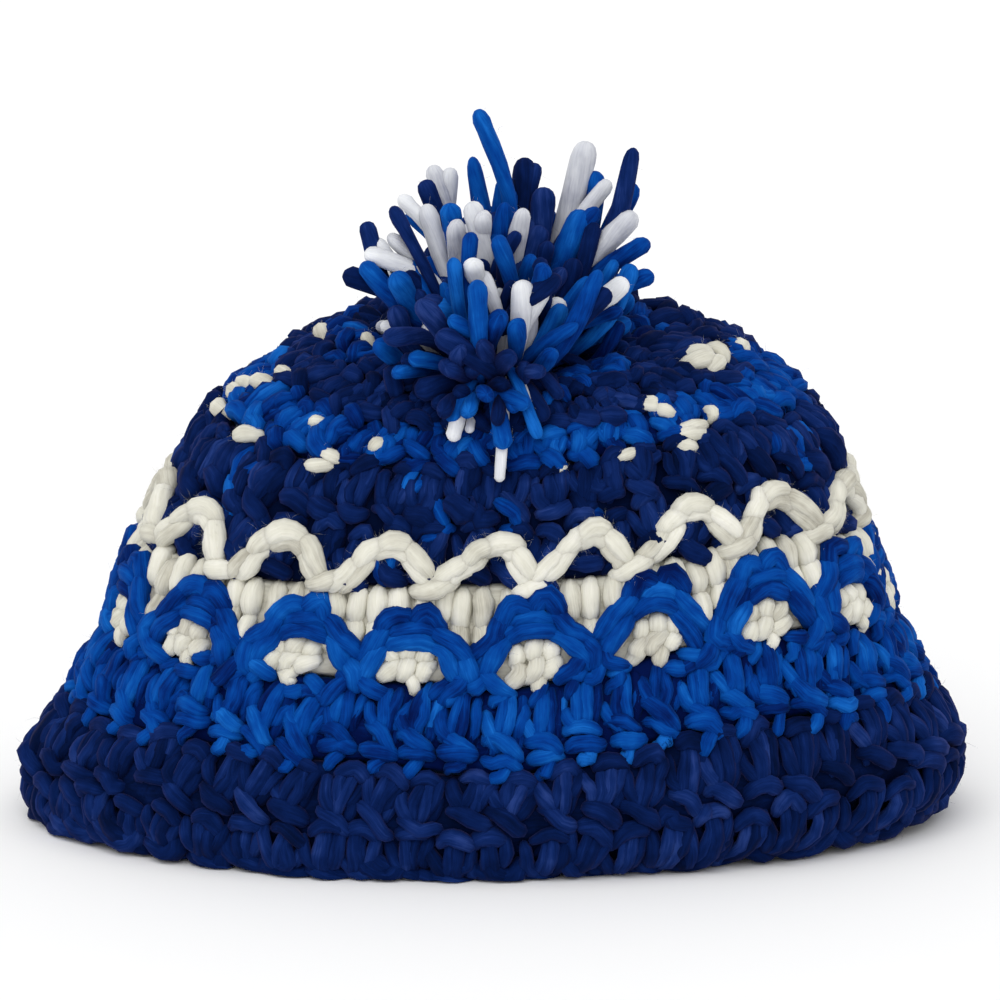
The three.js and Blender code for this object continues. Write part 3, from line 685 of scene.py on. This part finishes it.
# One cream arch, across in arches, from 78 mm up the fabric to 95: it climbs in steps from the left, and
# comes down steeply on the right to the foot that it shares with the next
CREAM_ARCH = [
    ([(-0.52, 0.12, 2), (-0.42, 0.2, 4.7), (-0.31, 0.34, 5.3), (-0.21, 0.5, 5.1), (-0.12, 0.62, 3)],
     2.6, 0),
    ([(-0.42, 0.08, 1.5), (-0.31, 0.17, 4.5), (-0.21, 0.32, 5.1), (-0.11, 0.52, 5.1), (-0.03, 0.7, 3.4)],
     2.4, 0),
    ([(-0.25, 0.38, 2), (-0.18, 0.56, 5.3), (-0.09, 0.73, 5.7), (0.02, 0.83, 5.3), (0.1, 0.84, 3)],
     2.8, 0),
    ([(-0.1, 0.62, 3), (0, 0.79, 5.5), (0.12, 0.89, 5.9), (0.24, 0.84, 5.5), (0.33, 0.68, 3.4)],
     3.0, 0),
    ([(-0.04, 0.6, 2.4), (0.06, 0.72, 5.1), (0.17, 0.74, 5.5), (0.26, 0.62, 5.1), (0.32, 0.48, 3)],
     2.4, 0),
    ([(0.2, 0.82, 3.4), (0.32, 0.7, 5.7), (0.4, 0.5, 5.9), (0.46, 0.3, 5.3), (0.5, 0.12, 2.6)],
     3.0, 0),
    ([(0.24, 0.66, 2.6), (0.32, 0.5, 5.1), (0.38, 0.32, 5.3), (0.44, 0.16, 4.5), (0.5, 0.04, 2)],
     2.5, 0),
    ([(0.3, 0.06, 1.5), (0.4, 0.04, 4.5), (0.5, 0.07, 5.3), (0.6, 0.1, 4.7), (0.7, 0.16, 2)],
     2.8, 0),
]
parts = [stitches(ARCHES, 78, 95, CREAM_ARCH, rng, loose=0.55, phase=0.73, sides=10)]
cream_arches_yarn = add_piece("cream_arches_yarn", parts, cream_yarn)
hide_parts("cream_arches")

# Navy rounds
# Two rounds of navy stitches under the cream arches and above them, worked more loosely than the rim,
# with a few stitches fewer.

rng = np.random.default_rng(41)
parts = [
    backing(79.5, 114.5, 1.7, RING, 0.8, rng),
    stitches(48, 79.5, 97, TALL_STITCH, rng, loose=1.3),
    stitches(52, 97, 114.5, TALL_STITCH, rng, loose=1.6, phase=0.3, thin=0.95),
    stitches(48, 79.5, 97, INNER_STITCH, rng, sides=6),
    stitches(48, 97, 114.5, INNER_STITCH, rng, sides=6),
]
navy_rounds_yarn = add_piece("navy_rounds_yarn", parts, navy_yarn)
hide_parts("navy_rounds")

# Upper royal round
# One royal blue round turns the hat over into its crown. Flecks of cream yarn show in it and above it,
# where the cream yarn was carried behind the stitches.

rng = np.random.default_rng(43)
parts = [
    backing(114.5, 131, 1.8, 120, 0.7, rng),
    stitches(48, 114.5, 131, TALL_STITCH, rng, loose=1.7, thin=0.95),
    stitches(44, 114.5, 131, INNER_STITCH, rng, sides=6),
]
upper_royal_yarn = add_piece("upper_royal_yarn", parts, royal_yarn)
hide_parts("upper_royal_round")

# Flecks of cream: turn, distance up the fabric, degrees from level, length and radius in millimetres
FLECKS = np.array([
    (0.817, 113.6, 20, 9, 2.2), (0.879, 112.8, 10, 8, 2.2), (0.857, 125.6, 30, 5, 1.6),
    (0.911, 120.6, 60, 5, 1.7), (0.777, 156.4, 20, 5, 1.8), (0.072, 112.0, 0, 7, 1.8),
    (0.100, 131.0, -50, 9, 2.2), (0.117, 114.0, -20, 11, 2.3), (0.141, 120.0, 80, 6, 1.7),
    (0.028, 112.4, 20, 4, 1.3), (0.762, 118.4, 10, 13, 2.7), (0.771, 126.0, 20, 11, 2.7),
    (0.780, 132.0, 15, 8, 2.4), (0.193, 142.0, -15, 12, 2.8), (0.219, 141.4, 60, 9, 2.6),
    (0.257, 137.0, 10, 9, 2.5), (0.32, 116, 15, 8, 2.1), (0.36, 134, -30, 7, 2), (0.43, 113, 10, 9, 2.2),
    (0.47, 127, 50, 6, 1.8), (0.52, 150, 20, 7, 2), (0.58, 115, -15, 9, 2.2), (0.63, 131, 30, 8, 2.1),
    (0.69, 119, 0, 10, 2.3), (0.72, 141, 20, 9, 2.3), (0.757, 121.5, 25, 13, 2.6),
    (0.767, 115.5, 0, 10, 2.4), (0.2, 138.6, 18, 11, 2.5), (0.207, 145.2, -40, 10, 2.5),
    (0.109, 127.6, -60, 9, 2), (0.122, 117.2, -8, 10, 2.2), (0.113, 111.4, -40, 7, 2),
    (0.884, 115.8, -15, 8, 2),
])
rng = np.random.default_rng(45)
slope = np.radians(FLECKS[:, 2])[:, None]
part = np.linspace(-0.5, 0.5, 5)
way = part * FLECKS[:, 3:4]
# Millimetres to a whole turn at each fleck: a hundred times the length of a hundredth of a turn there
sides = [
    place(FLECKS[:, 0] + aside, FLECKS[:, 1], 4.0 + 0 * FLECKS[:, 0]) for aside in (0.005, -0.005)
]
round_about = np.linalg.norm(sides[0] - sides[1], axis=-1)[:, None] * 100
bow = rng.normal(size=(len(FLECKS), 1)) * (1 - 4 * part**2)
curve = place(
    FLECKS[:, :1] + (way * np.cos(slope) - bow * np.sin(slope)) / round_about,
    FLECKS[:, 1:2] + way * np.sin(slope) + bow * np.cos(slope),
    np.array([1, 3.6, 4.5, 3.6, 1]) + 0 * way,
)
# The flecks get a shade of 0.1: a little painted shade
parts = [tubes(through(curve, STRAND_PARTS), FLECKS[:, 4], 0.1, 0, rng, sides=8, swell=LEAF)]
cream_flecks = add_piece("cream_flecks", parts, cream_yarn)

# Crown
# The crown is worked inwards in navy, in fewer and fewer stitches, and the last round is drawn together
# round the pompom's tie. Royal strands come through it and the navy rounds below in patches, where the
# two yarns were carried together.

# Royal places outside their own round: turn, distance up the fabric, and how far each patch reaches
PATCHES = np.array([
    (0.835, 98, 0.009, 4), (0.909, 95.6, 0.009, 4), (0.955, 99, 0.008, 4), (0.961, 97, 0.008, 4),
    (0.007, 94, 0.009, 4), (0.006, 101, 0.008, 4), (0.055, 97, 0.01, 4), (0.936, 90.4, 0.008, 4),
    (0.831, 105.2, 0.01, 4), (0.943, 111, 0.01, 5), (0.186, 107, 0.016, 6), (0.199, 102, 0.012, 4),
    (0.3, 98, 0.012, 5), (0.42, 104, 0.02, 6), (0.55, 99, 0.012, 5), (0.68, 103, 0.014, 5),
    (0.41, 171, 0.06, 9), (0.333, 166.6, 0.05, 8), (0.29, 159.6, 0.04, 7), (0.094, 157.6, 0.05, 7),
    (0.032, 146.4, 0.025, 5), (0.713, 145.8, 0.03, 6), (0.776, 151.4, 0.03, 6), (0.248, 133, 0.03, 6),
    (0.59, 150, 0.03, 7), (0.5, 140, 0.03, 6),
])


def in_patches(turn, fabric):
    """Whether a place lies in one of the royal patches: an ellipse in turn and distance up the fabric."""
    across = apart(turn[:, None], PATCHES[:, 0]) / PATCHES[:, 2]
    return (across**2 + ((fabric[:, None] - PATCHES[:, 1]) / PATCHES[:, 3]) ** 2 < 1).any(axis=1)


def outside_patches(turn, fabric):
    """Whether a place lies in none of the royal patches."""
    return ~in_patches(turn, fabric)


rng = np.random.default_rng(47)
navy_parts = [backing(131, 188, 1.6, 96, 0.8, rng)]
# Stitches, from and to in millimetres up the fabric, and how shaded the pompom leaves them
CROWN_ROUNDS = [(42, 131, 145, 0.05), (35, 145, 159, 0.15), (25, 159, 173, 0.3), (13, 173, 188, 0.5)]
for count, low, high, dark in CROWN_ROUNDS:
    navy_parts.append(
        stitches(
            count, low, high, TALL_STITCH, rng, loose=1.7, keep=outside_patches, dark=dark, thin=0.88
        )
    )
    navy_parts.append(stitches(count, low, high, INNER_STITCH, rng, sides=6))
crown_yarn = add_piece("crown_yarn", navy_parts, navy_yarn)
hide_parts("crown")
royal_parts = [
    stitches(count, low, high, TALL_STITCH, rng, loose=1.7, keep=in_patches, dark=dark, thin=0.92)
    for count, low, high, dark in [(48, 79.5, 97, 0), (48, 97, 114.5, 0), *CROWN_ROUNDS]
]
crown_royal_yarn = add_piece("crown_royal_yarn", royal_parts, royal_yarn)

# Pompom
# A tuft of about 250 cut ends of royal blue, navy and white roving. They are bound at one point, and the
# longest ones stand up at the top and at the upper right. A few hang over the crown's edge in front.

CORE = np.array([0, -15.5, 114.5])
# Tips of the strands that stand out: x, y, z, and the radius at the fattest place
TIPS = {
    "royal": [
        (-3.8, -22.1, 187.1, 3), (-5.2, -5.1, 172.3, 3.4), (2.7, -14.2, 168.4, 2.9), (26.1, -6, 168.6, 3),
        (35.4, -6.7, 165.9, 3), (38.9, -23, 154.1, 3), (35.1, -25.8, 148.6, 2.8), (40, -25.9, 146.1, 2.5),
        (23.2, -18.4, 160.9, 3.7), (26.5, -18.3, 161.5, 2.8), (3.2, -25.4, 164.4, 2.9),
        (-21.2, -15.1, 160.9, 3.1), (-32.5, -27, 149.4, 3.4), (-24.3, -33.4, 147.9, 3.1),
        (-10.8, -29.1, 164.6, 2.7), (-5.4, -37.5, 159.1, 2.4), (-9.7, -41.9, 153.4, 2.6),
        (1, -37.9, 158.1, 2.7), (-3.8, -47.2, 149, 3.4), (2.1, -48, 141, 3.4), (5.8, -48, 138.8, 2.7),
        (-10.7, -47.7, 139.3, 2.5), (-24.5, -42.7, 124.8, 2.2), (-20.7, -42.7, 128.6, 2.3),
        (15.1, -46.1, 131.1, 2.6), (11.4, -49.2, 109.3, 1.9), (4.8, -49.1, 116.1, 2),
        (-10.6, -47, 113, 2), (26.5, -39.5, 150, 2.8), (12.9, -44.2, 152, 2.6), (2.8, -52.6, 107.5, 2.5),
        (-6.2, -51.2, 116, 2.6), (-1.5, -51.5, 121, 2.6), (8.6, -50.5, 118, 2.5), (-29, -36, 131, 2.6),
        (21, -43, 137, 2.7),
    ],
    "navy": [
        (8.1, -5.2, 172, 3.1), (10.8, -5.4, 170.7, 2.8), (35.2, -18.7, 177, 3.0), (13, -11.6, 165.7, 3.2),
        (-17.4, -13.1, 167.7, 2.6), (-25.2, -22.8, 162.9, 2.4), (-31.7, -22.3, 158.9, 2.4),
        (-37.4, -25.2, 146.3, 2.8), (-17.9, -46.2, 143.7, 3.2), (-26.4, -44.9, 133.9, 3.2),
        (-13.7, -48.8, 136, 3.2), (16.6, -43.2, 149, 3.1), (29, -38.8, 144.8, 2.7),
        (-19.3, -43, 119.8, 3), (-11.8, -49.6, 128, 3), (12, -48.4, 126, 2.6), (-5, -46, 127, 2.6),
        (3, -47, 123, 2.5), (-9, -45, 121, 2.4), (8, -45.5, 127, 2.5), (-2, -47.5, 132, 2.6),
        (17, -42, 118, 2.4), (-15, -43, 117, 2.4), (-12.4, -50.6, 116.5, 2.8), (1, -52, 114, 2.5),
        (13, -47, 113.5, 2.4), (-3, -51, 134, 2.8), (5, -51, 131, 2.8), (-8, -50.5, 133, 2.6),
        (-22, -40, 127, 2.6),
    ],
    "white": [
        (-15.3, -5.6, 170.2, 2.4), (-10.7, -5.6, 169.6, 2.6), (23.9, -4.8, 176.1, 3.4),
        (29.4, -6.4, 166.4, 2.8), (35.7, -17.2, 160.2, 3.7), (33.4, -30.3, 145.6, 2.7),
        (7.8, -28.1, 163.3, 2.9), (7.5, -42.9, 148.1, 3.1), (13.4, -41.3, 146.2, 2.9),
        (-16.9, -18.2, 162.6, 3.3), (-23.4, -15.7, 164.3, 2.7), (-29.3, -22.1, 154.5, 2.5),
        (-26, -21.8, 155.5, 2.6), (-32, -25.1, 151.7, 2.5), (-9.2, -32.1, 160.8, 2.7),
        (-5.4, -29.8, 165.3, 2.8), (-2.5, -31.5, 162.9, 2.7), (-4.9, -42.9, 153, 2.7),
        (1.6, -52.2, 99, 1.9), (-10.2, -49.2, 108.8, 2.1), (-5.9, -47.5, 110.5, 1.3),
        (9.5, -47, 115, 1.4),
    ],
}
TUFT_PARTS = np.array([0, 0.1, 0.24, 0.4, 0.55, 0.68, 0.79, 0.87, 0.925, 0.96, 0.984, 0.996, 1])
BLUNT = np.interp(TUFT_PARTS, [0, 0.3, 0.7, 0.9, 1], [0.5, 0.64, 0.94, 1.08, 1.05])
POINTED = np.interp(TUFT_PARTS, [0, 0.3, 0.6, 0.8, 0.9, 1], [0.5, 0.74, 1.02, 1.0, 0.9, 0.7])


def tuft(tips, radius, rng):
    """Strands from the core to their tips: a bow to one side and a hanging curve, and wider at the end.

    A strand whose tip is further to the front or the back starts further out too. About one in seven of
    those whose tips lie above 130 mm is pointed. A strand that rises by less than 0.35 of its length
    arches up between its ends, by 0.45 of what it lacks."""
    number = len(tips)
    root = CORE + (tips - CORE) * (0.12, 0.42, 0.06) + rng.normal(size=(number, 3)) * 1.5
    way = tips - root
    length = np.linalg.norm(way, axis=-1, keepdims=True)
    steep = way[:, 2:] / length
    root[:, 2:] += 5 * (1 - steep)
    bow = np.cross(unit(way), rng.normal(size=(number, 3))) * 0.09 * length
    hang = np.maximum(0, 0.35 - steep) * length * 0.45
    parts = np.array([0, 0.3, 0.65, 1])[:, None]
    arc = np.sin(math.pi * parts)
    control = root[:, None] + (tips - root)[:, None] * parts + bow[:, None] * arc
    control[..., 2] += hang * arc[:, 0]
    pointed = (rng.random((number, 1)) < 0.14) & (tips[:, 2:] > 130)
    swell = np.where(pointed, POINTED, BLUNT)
    # Along each strand the tint rises towards the tip and the shade falls away from the root: a painted
    # highlight on the tips and painted shade in the core, over each strand's own chance tone
    tint = rng.normal(size=(number, 1)) * 0.14 + 0.3 * (TUFT_PARTS - 0.6)
    strand = through(control, TUFT_PARTS)
    shade = 0.4 * (1 - TUFT_PARTS) ** 2 + 0 * tint
    return tubes(strand, radius, shade, tint, rng, sides=14, flat=0.78, swell=swell)


rng = np.random.default_rng(53)
FILLING = 150
order = np.arange(FILLING)
turned = order * (3 - math.sqrt(5)) / 2
front = np.maximum(0, np.cos(2 * math.pi * turned))
# The lowest strands of the dome stand up more at the front, where the pompom is parted
lowest = np.sin(np.radians(14 + 40 * front))
height = 1 - (order + 0.5) / FILLING * (1 - lowest)
level = -math.pi / 2 + 2 * math.pi * turned
beside = np.sqrt(1 - height**2)
leans = 5 * np.sin(2 * math.pi * turned) * 2 * height * beside
shorter = 1 - rng.uniform(0, 0.42, FILLING) * front - rng.uniform(-0.06, 0.14, FILLING)
length = (35 + 14 * height**2 + leans) * shorter
way = np.stack([beside * np.cos(level), beside * np.sin(level), height], axis=-1)
filling = CORE + way * length[:, None]
filling_colour = rng.permutation(["royal"] * 58 + ["navy"] * 70 + ["white"] * 22)
# A few short ones lie on the crown all round
level = np.linspace(0, 2 * math.pi, 18, endpoint=False) + rng.normal(size=18) * 0.12
skirt = np.stack([
    2 + 33 * np.cos(level),
    -15.5 + 27 * np.sin(level),
    121 + 6 * np.sin(level) + rng.normal(size=18) * 2,
], axis=-1)
skirt_colour = np.array(["navy", "royal", "navy"] * 6)
filling = np.concatenate([filling, skirt])
filling_colour = np.concatenate([filling_colour, skirt_colour])
WHITE = [
    linear(150, 153, 168),
    linear(182, 184, 193),
    linear(202, 204, 210),
    linear(215, 217, 221),
    linear(228, 230, 233),
]
white_yarn = yarn("white roving", WHITE, 0.9, 0.05, (1.0, 1.0, 1.0), 0.35, soft=0.2)


# The strands are this much slimmer than the table's radii, with their blunt ends swelling to them
SLIMMER = 0.9


def pompom_piece(colour, material, rng):
    """One colour's strands: the marked tips, then the filling's of that colour in chance thicknesses."""
    marked = np.array(TIPS[colour])
    filled = filling[filling_colour == colour]
    thickness = rng.uniform(1.9, 2.8, len(filled))
    tips = np.concatenate([marked[:, :3], filled])
    strands = tuft(tips, np.concatenate([marked[:, 3] * SLIMMER, thickness]), rng)
    return add_piece(f"pompom_{colour}", [strands], material)


pompom_royal = pompom_piece("royal", royal_yarn, rng)
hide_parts("pompom")
pompom_navy = pompom_piece("navy", navy_yarn, rng)
pompom_white = pompom_piece("white", white_yarn, rng)

# Pompom's tie
# Navy yarn runs from the pompom through the middle of the crown and is knotted inside the hat.

rng = np.random.default_rng(59)
angle = np.linspace(0, 2 * math.pi, 4, endpoint=False)[:, None]
up = np.linspace(0, 1, 9)
neck = np.stack([
    1.3 * np.cos(angle + 3 * up),
    -15.5 + 1.3 * np.sin(angle + 3 * up),
    100 + 16 * up + 0 * angle,
], axis=-1)
turned = np.linspace(0.2, 2 * math.pi + 0.6, 13) + 2 * np.arange(3)[:, None]
tilt = np.array([1, -0.8, 0.2])[:, None]
knot = np.stack([
    4.2 * np.cos(turned),
    -15.5 + 4.2 * np.sin(turned),
    96 + 2.4 * np.arange(3)[:, None] + tilt * np.sin(turned),
], axis=-1)
# The tie's yarn gets a shade of 0.2: a little painted shade
parts = [tubes(neck, 1.3, 0.2, 0, rng), tubes(knot, 2.3, 0.2, 0, rng)]
tie_yarn = add_piece("tie_yarn", parts, navy_yarn)
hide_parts("pompom_tie")

# Fuzz
# Single fibres stand off the outside of the yarn. They are thickest on the cream arches.

HAIR_PARTS = np.array([0, 0.5, 1])
# The middle of the hat's inside: hairs grow on the points that face away from it
HOLLOW = np.array([0, 0, 70])
# Hairs are a little lighter than the yarn, as light gets through them
HAIR_SHADE = -0.1
LONGEST_HAIR = 6


def fuzz(piece, count, usual, rng, radius=0.022):
    """Thin three-sided tubes on those of a piece's faces that look away from the middle of the hat.

    Larger faces get more. A hair's way is the face's own plus chance, and it curls to one side by the
    square of the part of its length. Lengths are half a millimetre and more, up to 6, with few long
    ones: an exponential spread round the usual length."""
    faces = piece.data.polygons
    points, normals, areas = np.empty(len(faces) * 3), np.empty(len(faces) * 3), np.empty(len(faces))
    faces.foreach_get("center", points)
    faces.foreach_get("normal", normals)
    faces.foreach_get("area", areas)
    points, normals = points.reshape(-1, 3) * 1000, normals.reshape(-1, 3)
    areas *= (unit(points - HOLLOW) * normals).sum(-1) > 0.1
    chosen = rng.choice(len(faces), count, p=areas / areas.sum())
    way = unit(normals[chosen] * 0.7 + rng.normal(size=(count, 3)) * 0.6)
    curl = unit(np.cross(way, rng.normal(size=(count, 3))))
    reach = np.minimum(LONGEST_HAIR, 0.5 + rng.exponential(usual, count))[:, None, None]
    part = HAIR_PARTS[:, None]
    centres = points[chosen][:, None] + reach * (way[:, None] * part + curl[:, None] * 0.6 * part**2)
    return tubes(centres, radius, HAIR_SHADE, 0, rng, sides=3, flat=1)


rng = np.random.default_rng(61)
parts = [
    fuzz(rim_yarn, 4200, 0.9, rng),
    fuzz(navy_rounds_yarn, 2600, 0.9, rng),
    fuzz(crown_yarn, 2400, 0.9, rng),
    fuzz(pompom_navy, 1200, 1.1, rng),
]
add_piece("navy_fuzz", parts, navy_yarn)
parts = [
    fuzz(royal_round_yarn, 5600, 0.9, rng),
    fuzz(upper_royal_yarn, 1600, 0.9, rng),
    fuzz(crown_royal_yarn, 800, 0.9, rng),
    fuzz(pompom_royal, 1200, 1.1, rng),
]
add_piece("royal_fuzz", parts, royal_yarn)
parts = [
    fuzz(cream_round_yarn, 3000, 0.7, rng, radius=0.018),
    fuzz(cream_arches_yarn, 13000, 0.8, rng, radius=0.014),
    fuzz(cream_flecks, 900, 0.7, rng, radius=0.018),
    fuzz(pompom_white, 1500, 0.8, rng, radius=0.018),
]
add_piece("cream_fuzz", parts, cream_yarn)

# Studio
# A pale floor, even white light from all round, a broad soft light from above the front, and the camera.

mesh = bpy.data.meshes.new("floor")
mesh.from_pydata([(-6, -6, 0), (6, -6, 0), (6, 6, 0), (-6, 6, 0)], [], [(0, 1, 2, 3)])
floor = bpy.data.objects.new("floor", mesh)
bpy.context.scene.collection.objects.link(floor)
paper = bpy.data.materials.new("white paper")
paper.use_nodes = True
surface = paper.node_tree.nodes["Principled BSDF"].inputs
surface["Base Color"].default_value = (0.94, 0.94, 0.94, 1)
surface["Roughness"].default_value = 0.9
surface["Specular IOR Level"].default_value = 0.0
mesh.materials.append(paper)

world = bpy.data.worlds.new("studio")
world.use_nodes = True
world.node_tree.nodes["Background"].inputs["Color"].default_value = (1, 1, 1, 1)
world.node_tree.nodes["Background"].inputs["Strength"].default_value = 0.86
bpy.context.scene.world = world

softbox = bpy.data.lights.new("softbox", "SUN")
softbox.energy = 1.2
softbox.angle = math.radians(50)
softbox_at = bpy.data.objects.new("softbox", softbox)
softbox_at.rotation_euler = (math.radians(45), 0, math.radians(-12))
bpy.context.scene.collection.objects.link(softbox_at)

# The camera looks down at the hat's middle from the front. Distances are in metres
PITCH = math.radians(13)
DISTANCE = 1.8
AIM_X, AIM_Z = 0.001785, 0.08244
camera = bpy.data.cameras.new("camera")
camera.lens = 254.1
camera.sensor_width = 36
camera.clip_end = 20
view = bpy.data.objects.new("camera", camera)
view.location = (AIM_X, -DISTANCE * math.cos(PITCH), AIM_Z + DISTANCE * math.sin(PITCH))
view.rotation_euler = (math.pi / 2 - PITCH, 0, 0)
bpy.context.scene.collection.objects.link(view)
bpy.context.scene.camera = view
bpy.context.scene.view_settings.view_transform = "Standard"
